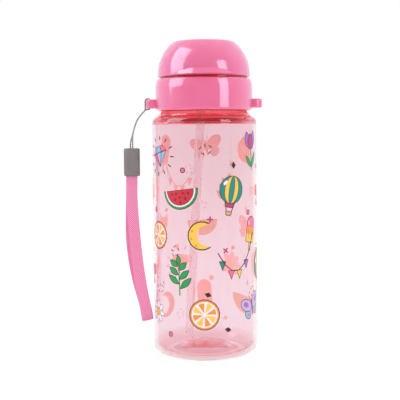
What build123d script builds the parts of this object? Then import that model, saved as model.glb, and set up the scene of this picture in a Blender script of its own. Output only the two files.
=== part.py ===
from build123d import *
import os
from math import atan, cos, degrees, pi, radians, sin, sqrt, tan

# Child's drinking bottle with a screw collar, a flip-up dome, a straw and a wrist strap.
# Millimetres. Origin at the centre of the foot, +Z up, the thumb lip faces -Y,
# the wrist strap hangs from the lug at -X.

# ---------------------------------------------------------------- driving dimensions
overall_height = 198.5
body_radius = 33.0
wall = 1.8

# bottle
foot_radius = 21.0            # inner edge of the ring that the bottle stands on
base_corner = 7.0
base_rise = 5.2               # how far the middle of the base is pushed up
floor_thickness = 2.4
gate_radius = 2.0             # moulding spot in the middle of the base
gate_height = 0.8
shoulder_z = 149.2            # where the straight wall turns in towards the neck
shoulder_corner = 3.4
shoulder_depth = 3.1          # plastic in the slope, measured upright
ledge_radius = 29.9           # small step at the top of the slope
ledge_z = 151.6
ledge_edge = 0.35
bead_foot_radius = 29.1       # bead between the step and the neck
bead_radius = 28.8
bead_top_radius = 27.3
bead_height = 2.2
neck_radius = 26.6
neck_bore = 25.0
mouth_z = 170.5
gasket_radius = 27.8

# screw collar
collar_bottom = 154.6
collar_foot_edge = 1.4
collar_top = 174.7
collar_radius = 30.75
collar_top_radius = 29.7
collar_bore = 28.4
collar_top_corner = 1.6
collar_draft_z = 170.4        # where the wall starts to lean in
collar_draft_bend = 15.0
deck_bottom = 172.0
deck_top = 174.4
spigot_radius = 26.9
spigot_height = 2.3
spigot_wall = 1.6
plug_rib_radius = 24.3        # rib that dips into the mouth and locates the gasket
plug_rib_wall = 1.3
plug_rib_z = 169.2
latch_half_angle = 13.0
latch_proud = 0.3

# strap lugs, one on each side of the collar
lug_bottom = 156.3
lug_height = 5.6
lug_reach = 36.8
lug_width = 12.0
lug_corner = 4.5
lug_edge = 0.8
lug_hole_x = 33.6
lug_hole_radius = 1.8

# dome and its hinge
dome_rim = 175.8
dome_radius = 29.25
dome_arc = 26.5
dome_shoulder = 1.5           # upright part of the wall below the arc
dome_crown = 0.55
dome_edge = 3.0
dome_wall = 1.8
dome_rim_edge = 0.5
lip_bottom = 176.5
lip_height = 3.5
lip_radius = 25.0
lip_top_radius = 22.8
lip_offset = 6.5
hinge_y = 30.2
hinge_z = 175.2
knuckle_radius = 2.4
knuckle_half = 3.7
hinge_gap = 0.35
ear_width = 4.0
pin_radius = 1.0

# silicone drinking spout and its stopper
spout_hole = 6.6
spout_flange_radius = 10.0
spout_flange_height = 2.3
spout_collar_radius = 7.9     # bead that snaps through the hole and sits on the deck
spout_collar_height = 2.7
spout_neck_radius = 6.0
spout_waist_radius = 5.3
spout_lip_radius = 6.1        # bite bead
spout_top = 191.0
spout_bore = 3.3
nozzle_length = 9.5
nozzle_wall = 1.5
stopper_radius = 8.6
stopper_nub_radius = 2.7
stopper_nub_height = 2.1

# straw
straw_radius = 2.85
straw_bore = 2.05
straw_start = (-1.0, 0.0, 170.0)
straw_lean = 3.5              # degrees, towards the left wall
straw_length = 161.0
straw_seat = 1.2              # depth of the straw's upper end in the nozzle

# wrist strap
cord_diameter = 1.0
strand_offset = 0.6           # half the distance between the cord's two strands
cord_gap = 0.05               # between the cord and the lug that it is looped through
bend_x, bend_z = -38.2, 154.5  # where the two strands leave the lug and bend
bend_gap, bend_drop = 0.32, 0.34
ferrule_x = -46.3
ferrule_bottom = 113.4
ferrule_height = 17.8
ferrule_width = 10.2
ferrule_depth = 6.0
webbing_width = 7.2
webbing_thickness = 1.2


# ---------------------------------------------------------------- helpers
def outline(*corners):
    """Closed outline through (x, y, corner radius) triples."""
    points = [(x, y) for x, y, _ in corners]
    radii = [radius for _, _, radius in corners]
    FilletPolyline(points, radius=radii, close=True)


def on_knuckle(angle):
    """Point of the hinge's round eye, in the side view, at an angle from the back."""
    turn = radians(angle)
    return hinge_y + knuckle_radius * cos(turn), hinge_z + knuckle_radius * sin(turn)


def corner_radii(points):
    """Tangent arc for each corner of a route: as large as its shorter run allows."""
    radii = []
    for before, corner, after in zip(points, points[1:], points[2:]):
        run_in = Vector(*corner) - Vector(*before)
        run_out = Vector(*after) - Vector(*corner)
        half_turn = radians(run_in.get_angle(run_out)) / 2
        radii.append(0.45 * min(run_in.length, run_out.length) / tan(half_turn))
    return radii


def cord_length(points, radii):
    """Length of the runs, less what each tangent arc cuts off its corner."""
    runs = [(Vector(*b) - Vector(*a)).length for a, b in zip(points, points[1:])]
    saved = 0
    for before, corner, after, radius in zip(points, points[1:], points[2:], radii):
        run_in = Vector(*corner) - Vector(*before)
        turn = radians(run_in.get_angle(Vector(*after) - Vector(*corner)))
        saved += radius * (2 * tan(turn / 2) - turn)
    return sum(runs) - saved


def report_cord(name, points, part):
    """Print a cord's radii, its length, and its volume against section times length."""
    radii = corner_radii(points)
    length = cord_length(points, radii)
    section = pi * (cord_diameter / 2) ** 2
    print(f"{name}: radii {[round(r, 1) for r in radii]}")
    print(f"{name}: length {length:.1f}, volume {part.volume:.2f}, expected {section * length:.2f}")


parts = {}


# ---------------------------------------------------------------- bottle body
# One blow-moulded shell: rising base, straight wall, sloped shoulder with a
# small step and a bead above it, plain neck.
inner_radius = body_radius - wall
slope = (ledge_z - ledge_edge - shoulder_z) / (body_radius - ledge_radius)
slope_foot_z = shoulder_z + slope * wall - shoulder_depth
slope_top_z = slope_foot_z + slope * (inner_radius - neck_bore)
with BuildPart() as bottle_body:
    with BuildSketch(Plane.XZ):
        with BuildLine():
            outline(
                (0, base_rise - gate_height, 0),
                (gate_radius, base_rise - gate_height, 0.3),
                (gate_radius + 0.3, base_rise, 0.3),
                (11.0, base_rise, 28.0),
                (foot_radius, 0, 0.8),
                (body_radius, 0, base_corner),
                (body_radius, shoulder_z, shoulder_corner),
                (ledge_radius, ledge_z - ledge_edge, 0.2),
                (ledge_radius, ledge_z, 0.2),
                (bead_foot_radius, ledge_z, 0.2),
                (bead_radius, ledge_z + 0.4 * bead_height, 0.8),
                (bead_top_radius, ledge_z + bead_height, 0.5),
                (neck_radius, ledge_z + bead_height + 0.4, 0.2),
                (neck_radius, mouth_z, 0.5),
                (neck_bore, mouth_z, 0.5),
                (neck_bore, slope_top_z, 2.0),
                (inner_radius, slope_foot_z, 2.5),
                (inner_radius, floor_thickness, base_corner - wall),
                (foot_radius - 0.5, floor_thickness, 1.5),
                (10.6, base_rise + floor_thickness, 28.0),
                (0, base_rise + floor_thickness, 0),
            )
        make_face()
    revolve(axis=Axis.Z)
parts["bottle_body"] = bottle_body

# ---------------------------------------------------------------- mouth gasket
# Silicone ring between the mouth of the bottle and the deck of the collar.
gasket_play = 0.05
with BuildPart() as mouth_gasket:
    with BuildSketch(Plane.XZ):
        with BuildLine():
            outline(
                (plug_rib_radius + 0.3, mouth_z + gasket_play, 0.3),
                (gasket_radius, mouth_z + gasket_play, 0.3),
                (gasket_radius, deck_bottom - gasket_play, 0.3),
                (plug_rib_radius + 0.3, deck_bottom - gasket_play, 0.3),
            )
        make_face()
    revolve(axis=Axis.Z)
parts["mouth_gasket"] = mouth_gasket

# ---------------------------------------------------------------- drinking spout
# Soft spout held in the deck between a flange below and a bead above; the bite bead at
# its top is closed by the stopper, and the leaning nozzle below takes the straw.
straw_plane = Plane(
    origin=straw_start,
    x_dir=(cos(radians(straw_lean)), 0, -sin(radians(straw_lean))),
    z_dir=(sin(radians(straw_lean)), 0, cos(radians(straw_lean))),
)
spout_play = 0.1
flange_top = deck_bottom - spout_play
collar_foot = deck_top + spout_play
groove_radius = spout_hole - spout_play
with BuildPart() as drinking_spout:
    with BuildSketch(Plane.XZ):
        with BuildLine():
            outline(
                (0, flange_top - spout_flange_height, 0),
                (spout_flange_radius - 1.4, flange_top - spout_flange_height, 1.0),
                (spout_flange_radius, flange_top - spout_flange_height / 2, 0.4),
                (spout_flange_radius, flange_top, 0.3),
                (groove_radius, flange_top, 0.2),
                (groove_radius, collar_foot, 0.2),
                (spout_collar_radius, collar_foot, 0.3),
                (spout_collar_radius - 0.3, collar_foot + 0.7 * spout_collar_height, 0.9),
                (spout_neck_radius, collar_foot + spout_collar_height, 1.6),
                (spout_waist_radius, spout_top - 3.6, 2.0),
                (spout_lip_radius, spout_top - 2.4, 0.8),
                (spout_lip_radius - 0.2, spout_top, 1.2),
                (0, spout_top, 0),
            )
        make_face()
    revolve(axis=Axis.Z)
    with BuildSketch(straw_plane):
        Circle(straw_radius + nozzle_wall)
    extrude(amount=-nozzle_length)
    nozzle_mouth = faces().filter_by(GeomType.PLANE).sort_by(Axis.Z)[0]
    chamfer(nozzle_mouth.edges(), length=0.5)
    with BuildSketch(Plane.XY.offset(spout_top)):
        Circle(spout_bore)
    extrude(amount=flange_top - 0.7 - spout_top, mode=Mode.SUBTRACT)
    with BuildSketch(straw_plane.offset(2.0)):
        Circle(straw_bore + 0.25)
    extrude(amount=-(nozzle_length + 4.0), mode=Mode.SUBTRACT)
    with BuildSketch(straw_plane.offset(-straw_seat)):
        Circle(straw_radius + 0.05)
    extrude(amount=-nozzle_length, mode=Mode.SUBTRACT)
parts["drinking_spout"] = drinking_spout

# ---------------------------------------------------------------- straw
# Stiff tube, pushed up into the nozzle, its foot cut at a slant so that it never seals
# on the floor of the bottle.
foot_slant = 35.0
foot_rise = 2.6               # from the straw's uncut end to the middle of the slant
straw_foot = straw_plane.offset(-straw_seat - straw_length).origin
with BuildPart() as straw:
    with BuildSketch(straw_plane.offset(-straw_seat)):
        Circle(straw_radius)
        Circle(straw_bore, mode=Mode.SUBTRACT)
    extrude(amount=-straw_length)
    split(
        bisect_by=Plane(
            origin=straw_foot + Vector(0, 0, foot_rise),
            z_dir=(sin(radians(foot_slant)), 0, cos(radians(foot_slant))),
        ),
        keep=Keep.TOP,
    )
parts["straw"] = straw

# ---------------------------------------------------------------- screw collar
# Turned form with two strap lugs, a deck with the spout and valve holes, a spigot that
# the dome closes over, and two hinge ears at the back.
valve_y = 17.0
valve_hole = 1.4
latch_start = radians(-90 - latch_half_angle)
latch_plane = Plane(
    origin=(0, 0, 0),
    x_dir=(cos(latch_start), sin(latch_start), 0),
    z_dir=(sin(latch_start), -cos(latch_start), 0),
)
spigot_top = collar_top + spigot_height
spigot_bore = spigot_radius - spigot_wall
plug_rib_bore = plug_rib_radius - plug_rib_wall
with BuildPart() as screw_collar:
    with BuildSketch(Plane.XZ):
        with BuildLine():
            outline(
                (collar_bore, collar_bottom, 0.4),
                (collar_radius, collar_bottom, collar_foot_edge),
                (collar_radius, collar_draft_z, collar_draft_bend),
                (collar_top_radius, collar_top, collar_top_corner),
                (spigot_radius, collar_top, 0.3),
                (spigot_radius, spigot_top, 0.5),
                (spigot_bore, spigot_top, 0.5),
                (spigot_bore, deck_top, 0.6),
                (spout_hole, deck_top, 0.3),
                (spout_hole, deck_bottom, 0.2),
                (plug_rib_bore, deck_bottom, 0.4),
                (plug_rib_bore, plug_rib_z, 0.4),
                (plug_rib_radius, plug_rib_z, 0.4),
                (plug_rib_radius, deck_bottom, 0.1),
                (collar_bore, deck_bottom, 0.4),
            )
        make_face()
    revolve(axis=Axis.Z)

    # lugs: flat tabs with rounded outer corners and an upright hole for the cord
    root_x = collar_bore + 0.6
    for side in (-1, 1):
        with BuildSketch(Plane.XY.offset(lug_bottom)):
            with Locations((side * (root_x + lug_reach) / 2, 0)):
                Rectangle(lug_reach - root_x, lug_width)
            outer = vertices().group_by(Axis.X)[-1 if side > 0 else 0]
            fillet(outer, radius=lug_corner)
        extrude(amount=lug_height)
    lug_faces = faces().filter_by(Plane.XY).filter_by(
        lambda f: abs(f.center().X) > collar_radius
    )
    for tab_face in lug_faces:
        rim = tab_face.edges().filter_by(
            lambda e: abs(e.center().X) > collar_radius + 0.3
        )
        fillet(rim, radius=lug_edge)
    with BuildSketch(Plane.XY.offset(lug_bottom)):
        with Locations((-lug_hole_x, 0), (lug_hole_x, 0)):
            Circle(lug_hole_radius)
    extrude(amount=lug_height, mode=Mode.SUBTRACT)

    # valve hole in the deck
    with BuildSketch(Plane.XY.offset(deck_bottom)):
        with Locations((0, valve_y)):
            Circle(valve_hole)
    extrude(amount=deck_top - deck_bottom, mode=Mode.SUBTRACT)

    # latch bead on the front of the spigot
    with BuildSketch(latch_plane):
        with BuildLine():
            outline(
                (spigot_radius - 0.5, spigot_top - 1.6, 0),
                (spigot_radius, spigot_top - 1.6, 0),
                (spigot_radius + latch_proud, spigot_top - 1.05, 0.2),
                (spigot_radius, spigot_top - 0.5, 0),
                (spigot_radius - 0.5, spigot_top - 0.5, 0),
            )
        make_face()
    revolve(axis=Axis.Z, revolution_arc=2 * latch_half_angle)

    # hinge ears: each a round eye on a gusset that runs down into the wall
    ear_start = knuckle_half + hinge_gap
    ear_root_z = deck_bottom - 4.5
    for ear_x in (ear_start, -ear_start - ear_width):
        with BuildSketch(Plane.YZ.offset(ear_x)):
            with Locations((hinge_y, hinge_z)):
                Circle(knuckle_radius)
            with BuildLine():
                Polyline(
                    on_knuckle(180),
                    (hinge_y - 1.6, deck_bottom + 0.2),
                    (hinge_y - 1.2, ear_root_z),
                    (hinge_y + 0.4, ear_root_z),
                    on_knuckle(-12),
                    (hinge_y, hinge_z),
                    close=True,
                )
            make_face()
        extrude(amount=ear_width)

    # pocket for the dome's knuckle, and the bore of the pin
    with BuildSketch(Plane.YZ.offset(-ear_start)):
        with Locations((hinge_y, hinge_z)):
            Circle(knuckle_radius + hinge_gap)
    extrude(amount=2 * ear_start, mode=Mode.SUBTRACT)
    with BuildSketch(Plane.YZ.offset(-ear_start - ear_width)):
        with Locations((hinge_y, hinge_z)):
            Circle(pin_radius + 0.03)
    extrude(amount=2 * (ear_start + ear_width), mode=Mode.SUBTRACT)
parts["screw_collar"] = screw_collar

# ---------------------------------------------------------------- vent valve
# Small silicone valve that lets air back in as the child drinks.
with BuildPart() as vent_valve:
    with BuildSketch(Plane.XZ):
        with BuildLine():
            outline(
                (0, 168.6, 0),
                (0.6, 168.6, 0),
                (1.7, deck_bottom - 0.6, 0.4),
                (2.2, deck_bottom - 0.05, 0.2),
                (valve_hole - 0.05, deck_bottom - 0.05, 0),
                (valve_hole - 0.05, deck_top + 0.05, 0),
                (2.9, deck_top + 0.05, 0.3),
                (2.6, deck_top + 0.9, 0.4),
                (0, deck_top + 1.0, 0),
            )
        make_face()
    revolve(axis=Axis.Z)
vent_valve.part.position = (0, valve_y, 0)
parts["vent_valve"] = vent_valve

# ---------------------------------------------------------------- hinge pin
pin_half = knuckle_half + hinge_gap + ear_width - 0.2
with BuildPart() as hinge_pin:
    with BuildSketch(Plane.YZ.offset(-pin_half)):
        with Locations((hinge_y, hinge_z)):
            Circle(pin_radius)
    extrude(amount=2 * pin_half)
    chamfer(edges().filter_by(GeomType.CIRCLE), length=0.2)
parts["hinge_pin"] = hinge_pin


# ---------------------------------------------------------------- dome lid
dome_arc_centre = (dome_radius - dome_arc, dome_rim + dome_shoulder)


def dome_corner(inset):
    """Where the crown meets the arc of the wall, inset from the outer surface."""
    z = overall_height - dome_crown - inset
    return dome_arc_centre[0] + sqrt((dome_arc - inset) ** 2 - (z - dome_arc_centre[1]) ** 2), z


def dome_section(inset):
    """Closed half section of the dome, inset from its outer surface."""
    side = dome_radius - inset
    corner = dome_corner(inset)
    crown_radius = (corner[0] ** 2 + dome_crown**2) / (2 * dome_crown)
    Line((0, dome_rim), (side, dome_rim))
    Line((side, dome_rim), (side, dome_arc_centre[1]))
    RadiusArc((side, dome_arc_centre[1]), corner, -(dome_arc - inset))
    RadiusArc(corner, (0, overall_height - inset), -crown_radius)
    Line((0, overall_height - inset), (0, dome_rim))


boss_radius = stopper_radius + 1.6
boss_bottom = 193.0
dome_ceiling = overall_height - dome_wall
web_top = 181.0
with BuildPart() as dome_lid:
    with BuildSketch(Plane.XZ):
        with BuildLine():
            dome_section(0)
        make_face()
        fillet(vertices().sort_by_distance(dome_corner(0))[0], radius=dome_edge)
        fillet(vertices().sort_by_distance((dome_radius, dome_rim))[0], radius=dome_rim_edge)
    revolve(axis=Axis.Z)

    # thumb lip: a tapered disc set forward, so that only a lens of it stands proud
    with BuildSketch(Plane.XY.offset(lip_bottom)):
        with Locations((0, -lip_offset)):
            Circle(lip_radius)
    lip_taper = degrees(atan((lip_radius - lip_top_radius) / lip_height))
    extrude(amount=lip_height, taper=lip_taper)
    with BuildSketch(Plane.XZ):
        with BuildLine():
            dome_section(dome_wall)
        make_face()
        fillet(vertices().sort_by_distance(dome_corner(dome_wall))[0], radius=dome_edge - dome_wall)
    revolve(axis=Axis.Z, mode=Mode.SUBTRACT)

    # boss that grips the stopper
    with BuildSketch(Plane.XY.offset(boss_bottom)):
        Circle(boss_radius)
        Circle(stopper_radius, mode=Mode.SUBTRACT)
    extrude(amount=dome_ceiling - boss_bottom)

    # room for the hinge ears, then the knuckle and its web
    with BuildSketch(Plane.YZ.offset(-ear_start - ear_width - hinge_gap)):
        with Locations((hinge_y, hinge_z)):
            Circle(knuckle_radius + hinge_gap)
    extrude(amount=2 * (ear_start + ear_width + hinge_gap), mode=Mode.SUBTRACT)
    with BuildSketch(Plane.YZ.offset(-knuckle_half)):
        with Locations((hinge_y, hinge_z)):
            Circle(knuckle_radius)
        with BuildLine():
            Polyline(
                on_knuckle(160),
                (dome_radius - dome_wall, web_top - 2.0),
                (dome_radius - dome_wall + 0.6, web_top),
                (dome_radius - 0.5, web_top),
                on_knuckle(35),
                (hinge_y, hinge_z),
                close=True,
            )
        make_face()
    extrude(amount=2 * knuckle_half)
    with BuildSketch(Plane.YZ.offset(-knuckle_half)):
        with Locations((hinge_y, hinge_z)):
            Circle(pin_radius + 0.1)
    extrude(amount=2 * knuckle_half, mode=Mode.SUBTRACT)
parts["dome_lid"] = dome_lid

# ---------------------------------------------------------------- spout stopper
# Silicone pad pressed into the dome; its nub closes the bore of the spout.
pad_play = 0.1
pad_bottom = spout_top + 0.3
with BuildPart() as spout_stopper:
    with BuildSketch(Plane.XZ):
        with BuildLine():
            outline(
                (0, pad_bottom - stopper_nub_height, 0),
                (stopper_nub_radius - 0.7, pad_bottom - stopper_nub_height, 0.7),
                (stopper_nub_radius, pad_bottom, 0.3),
                (stopper_radius - pad_play, pad_bottom, 0.6),
                (stopper_radius - pad_play, dome_ceiling - 2 * pad_play, 0.3),
                (0, dome_ceiling - 2 * pad_play, 0),
            )
        make_face()
    revolve(axis=Axis.Z)
parts["spout_stopper"] = spout_stopper

# ---------------------------------------------------------------- wrist strap
# A doubled cord is looped through the left lug, and its two strands go down into a rubber
# ferrule, which holds both ends of a webbing loop.
cord_radius = cord_diameter / 2
under_z = lug_bottom - cord_gap - cord_radius
over_z = lug_bottom + lug_height + cord_gap + cord_radius
outside_x = -lug_reach - cord_gap - cord_radius
# from the bend: under the lug, up its hole, over the top and down its outer end
hitch_route = [
    (bend_x + bend_gap, strand_offset, bend_z + bend_drop),
    (-36.9, 0.55, under_z),
    (-34.3, 0.3, under_z),
    (-33.7, 0, lug_bottom + lug_height / 2),
    (-34.3, -0.3, over_z),
    (outside_x, -0.45, over_z),
    (outside_x, -0.5, lug_bottom + lug_height / 2),
    (outside_x, -0.6, bend_z + 1.0),
    (bend_x + bend_gap, -strand_offset, bend_z + bend_drop),
]

strand_routes = [
    [
        (bend_x - bend_gap, side * strand_offset, bend_z - bend_drop),
        (-39.7, side * strand_offset, 152.9),
        (-42.7, side * strand_offset, 149.2),
        (-44.5, side * strand_offset, 144.2),
        (-45.7 - side * 0.1, side * strand_offset, 139.6),
        (-46.3 - side * 0.6, side * strand_offset, 135.8),
        (-46.4 - side * 0.75, side * 0.3, 133.4),
        (-46.4 - side * 0.75, side * 0.3, ferrule_bottom + ferrule_height),
    ]
    for side in (1, -1)
]


def start_plane(route):
    """Plane square to the first run of a route."""
    return Plane(origin=route[0], z_dir=Vector(*route[1]) - Vector(*route[0]))


with BuildPart() as lanyard_hitch:
    with BuildLine():
        FilletPolyline(hitch_route, radius=corner_radii(hitch_route))
    with BuildSketch(start_plane(hitch_route)):
        Circle(cord_diameter / 2)
    sweep()
parts["lanyard_hitch"] = lanyard_hitch
report_cord("lanyard_hitch", hitch_route, lanyard_hitch.part)

with BuildPart() as lanyard_cord:
    for route in strand_routes:
        with BuildLine():
            FilletPolyline(route, radius=corner_radii(route))
        with BuildSketch(start_plane(route)):
            Circle(cord_diameter / 2)
        sweep()
parts["lanyard_cord"] = lanyard_cord
report_cord("lanyard_cord, one of two", strand_routes[0], lanyard_cord.part.solids()[0])

with BuildPart() as lanyard_ferrule:
    with BuildSketch(Plane.XY.offset(ferrule_bottom)):
        with Locations((ferrule_x, 0)):
            RectangleRounded(ferrule_width, ferrule_depth, 2.6)
    extrude(amount=ferrule_height)
    fillet(faces().filter_by(Plane.XY).edges(), radius=1.2)
parts["lanyard_ferrule"] = lanyard_ferrule

# webbing loop: down in front, round the bottom fold and up behind, leaning in towards
# the bottle; seen from the front it is one band, seen from the side a narrow leaf
webbing_route = [
    (-46.5, -0.65, ferrule_bottom),
    (-46.5, -0.65, 109.4),
    (-46.6, -1.4, 102.5),
    (-46.0, -3.2, 91.0),
    (-44.7, -5.6, 75.0),
    (-42.8, -7.9, 57.5),
    (-40.4, -9.2, 42.0),
    (-38.1, -9.4, 30.5),
    (-36.9, -9.0, 22.0),
    (-36.9, -3.1, 22.0),
    (-38.1, -1.9, 30.5),
    (-40.4, -0.4, 42.0),
    (-42.8, 1.0, 57.5),
    (-44.7, 1.9, 75.0),
    (-46.0, 2.2, 91.0),
    (-46.6, 1.4, 102.5),
    (-46.5, 0.65, 109.4),
    (-46.5, 0.65, ferrule_bottom),
]
half_count = len(webbing_route) // 2
front_line = [(x, z) for x, _, z in webbing_route[:half_count]]
fold_x, fold_z = front_line.pop()
front_line.append((fold_x + 0.3, fold_z - 2.0))     # past the fold, so the band reaches its foot
side_line = [(y, z) for _, y, z in webbing_route]


def flat_radii(points):
    """Corner radii of a route that lies in a sketch."""
    return corner_radii([(a, b, 0) for a, b in points])


with BuildPart() as lanyard_webbing:
    with BuildSketch(Plane.YZ.offset(ferrule_x - 15)):
        with BuildLine():
            FilletPolyline(side_line, radius=flat_radii(side_line))
        trace(line_width=webbing_thickness)
    extrude(amount=40)
    with BuildSketch(Plane.XZ.offset(20)):
        with BuildLine():
            FilletPolyline(front_line, radius=flat_radii(front_line))
        trace(line_width=webbing_width)
    extrude(amount=-40, mode=Mode.INTERSECT)
parts["lanyard_webbing"] = lanyard_webbing
webbing_radii = corner_radii(webbing_route)
print(f"lanyard_webbing: length {cord_length(webbing_route, webbing_radii):.1f}")
print(f"lanyard_webbing: radii {[round(r, 1) for r in webbing_radii]}")
print(f"lanyard_webbing: volume {lanyard_webbing.part.volume:.1f}")

# ---------------------------------------------------------------- export
os.makedirs("parts", exist_ok=True)
for name, builder in parts.items():
    builder.part.label = name
    export_step(builder.part, f"parts/{name}.step")
    size = builder.part.bounding_box().size
    print(f"{name}: {size.X:.1f} x {size.Y:.1f} x {size.Z:.1f}")
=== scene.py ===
# %% [markdown]
# # A child's drinking bottle
# The bottle is a clear pink blow-moulded shell with a printed pattern. A glossy pink collar
# screws onto it, a dome flips up at the back, a straw hangs from the silicone spout, and a
# webbing wrist strap hangs from the left lug. The solids come ready made; this script gives
# them their finishes and adds what a solid model leaves out: the woven strap, the twisted
# cord, the screw threads and the print.

# %% Load the frame
import random
from math import atan2, ceil, cos, pi, radians, sin, tan

import bmesh
import bpy
from mathutils import Matrix, Vector


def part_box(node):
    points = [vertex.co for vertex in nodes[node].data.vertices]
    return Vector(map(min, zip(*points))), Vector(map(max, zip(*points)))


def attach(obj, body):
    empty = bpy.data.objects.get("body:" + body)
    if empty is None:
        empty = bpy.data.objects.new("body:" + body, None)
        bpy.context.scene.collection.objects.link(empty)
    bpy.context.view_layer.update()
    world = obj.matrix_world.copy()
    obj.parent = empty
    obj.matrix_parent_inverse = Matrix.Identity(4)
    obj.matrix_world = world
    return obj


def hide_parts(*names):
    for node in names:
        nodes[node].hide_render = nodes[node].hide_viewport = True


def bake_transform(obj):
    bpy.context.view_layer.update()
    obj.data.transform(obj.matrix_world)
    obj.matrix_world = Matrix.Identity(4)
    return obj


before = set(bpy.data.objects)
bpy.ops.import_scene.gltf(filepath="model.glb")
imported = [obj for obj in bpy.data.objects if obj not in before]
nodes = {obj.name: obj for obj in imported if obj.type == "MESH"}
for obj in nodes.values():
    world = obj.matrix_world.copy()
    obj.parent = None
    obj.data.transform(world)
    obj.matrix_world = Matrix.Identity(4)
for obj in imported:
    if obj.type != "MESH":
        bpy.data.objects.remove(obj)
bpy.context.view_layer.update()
scene = bpy.context.scene
scene.view_settings.view_transform = "Standard"
scene.cycles.max_bounces = 32
scene.cycles.glossy_bounces = 16
scene.cycles.transmission_bounces = 24
scene.cycles.diffuse_bounces = 8
MM = 0.001

# %% [markdown]
# ## Helpers
# Sizes are easier to read in millimetres, and colours as the 0-255 numbers of a paint
# chart, so both get a small helper. A finished piece keeps its place in its mesh, with the
# object itself at the origin, so that patterns on Object coordinates stay where they are.
# Each node helper adds one shader node to a tree and gives back its output.


# %% Units, colours and pieces
def mm(*numbers):
    """A point given in millimetres, as Blender's metres."""
    return Vector(numbers) * MM


def shade(red, green, blue):
    """A colour from 0-255 display values, as the linear values that shaders use."""
    linear = []
    for value in (red, green, blue):
        share = value / 255
        linear.append(share / 12.92 if share <= 0.04045 else ((share + 0.055) / 1.055) ** 2.4)
    return (*linear, 1.0)


def mixed(one, other, share):
    """The colour a given share of the way from one to the other."""
    return tuple(a + (b - a) * share for a, b in zip(one, other))


def piece(name, bm, material, body, smooth_angle=40):
    """Turn a bmesh into a finished object that rides on a body."""
    mesh = bpy.data.meshes.new(name)
    bm.to_mesh(mesh)
    bm.free()
    mesh.shade_smooth()
    mesh.set_sharp_from_angle(angle=radians(smooth_angle))
    made = bpy.data.objects.new(name, mesh)
    scene.collection.objects.link(made)
    mesh.materials.append(material)
    if body:
        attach(made, body)
    print(f"{name}: {len(mesh.polygons)} faces")
    return made


# %% Shader nodes
def feed(tree, value, socket):
    """Give a socket the output of another node, or a plain value."""
    if isinstance(value, bpy.types.NodeSocket):
        tree.links.new(value, socket)
    else:
        socket.default_value = value


def place_node(tree, kind="Object"):
    """The place of a point, in one of the kinds of texture coordinates."""
    return tree.nodes.new("ShaderNodeTexCoord").outputs[kind]


def axis_node(tree, vector, axis):
    """One of the three parts of a vector."""
    node = tree.nodes.new("ShaderNodeSeparateXYZ")
    feed(tree, vector, node.inputs["Vector"])
    return node.outputs[axis]


def noise_node(tree, place, scale, detail=2.0):
    """Soft noise from 0 to 1."""
    node = tree.nodes.new("ShaderNodeTexNoise")
    feed(tree, place, node.inputs["Vector"])
    feed(tree, scale, node.inputs["Scale"])
    feed(tree, detail, node.inputs["Detail"])
    return node.outputs["Fac"]


def math_node(tree, operation, *values, clamp=False):
    """The result of one sum. Each value is a number or the output of another node."""
    node = tree.nodes.new("ShaderNodeMath")
    node.operation = operation
    node.use_clamp = clamp
    for value, socket in zip(values, node.inputs):
        feed(tree, value, socket)
    return node.outputs["Value"]


def range_node(tree, value, start, end, low=0.0, high=1.0, smooth=False):
    """A value that runs from low to high while another one runs from start to end."""
    node = tree.nodes.new("ShaderNodeMapRange")
    node.interpolation_type = "SMOOTHSTEP" if smooth else "LINEAR"
    sockets = {"Value": value, "From Min": start, "From Max": end, "To Min": low, "To Max": high}
    for name, number in sockets.items():
        feed(tree, number, node.inputs[name])
    return node.outputs["Result"]


def mix_node(tree, factor, one, other, kind="RGBA", blend="MIX"):
    """A mix of two colours or, for the kind FLOAT, of two numbers."""
    node = tree.nodes.new("ShaderNodeMix")
    node.data_type = kind
    node.blend_type = blend
    for name, value in (("Factor", factor), ("A", one), ("B", other)):
        feed(tree, value, node.inputs[name])
    return node.outputs["Result"]


# %% [markdown]
# ## Camera
# A long lens a little over half a metre away, just below the shoulder of the bottle and
# tipped down by four degrees, so the collar shows its underside and the foot its curve.

# %% Camera
camera = bpy.data.objects.new("camera", bpy.data.cameras.new("camera"))
scene.collection.objects.link(camera)
camera.data.lens = 83.7
camera.location = mm(-2.7, -594, 139.3)
camera.rotation_euler = (radians(86), radians(0.46), 0)
camera.data.clip_start = 0.01
scene.camera = camera

# %% [markdown]
# ## Studio
# The bottle stands on a white table in a white room. Seen straight on, or through the
# bottle, the room is plain white, and its soft light is even. Mirrored in a surface it is
# bright behind and at the sides and dim in front. One broad lamp at the upper left and one
# tall narrow lamp on the right make the two kinds of highlight on the glossy lid.

# %% Room
room_front, room_back, room_soft = 0.30, 0.95, 1.28
white, mirror_hue = (1, 1, 1, 1), (0.98, 0.93, 1.12, 1)
world = bpy.data.worlds.new("white_room")
world.use_nodes = True
scene.world = world
tree = world.node_tree
rays = tree.nodes.new("ShaderNodeLightPath").outputs
seen = math_node(tree, "MAXIMUM", rays["Is Camera Ray"], rays["Is Transmission Ray"])
mirrored = math_node(tree, "SUBTRACT", rays["Is Glossy Ray"], rays["Is Transmission Ray"], clamp=True)
depth = axis_node(tree, place_node(tree, "Generated"), "Y")
in_mirror = range_node(tree, depth, -0.9, 0.5, room_front, room_back, smooth=True)
unseen = mix_node(tree, mirrored, room_soft, in_mirror, kind="FLOAT")
background = tree.nodes["Background"]
feed(tree, mix_node(tree, seen, unseen, 1.0, kind="FLOAT"), background.inputs["Strength"])
feed(tree, mix_node(tree, mirrored, white, mirror_hue), background.inputs["Color"])


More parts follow.
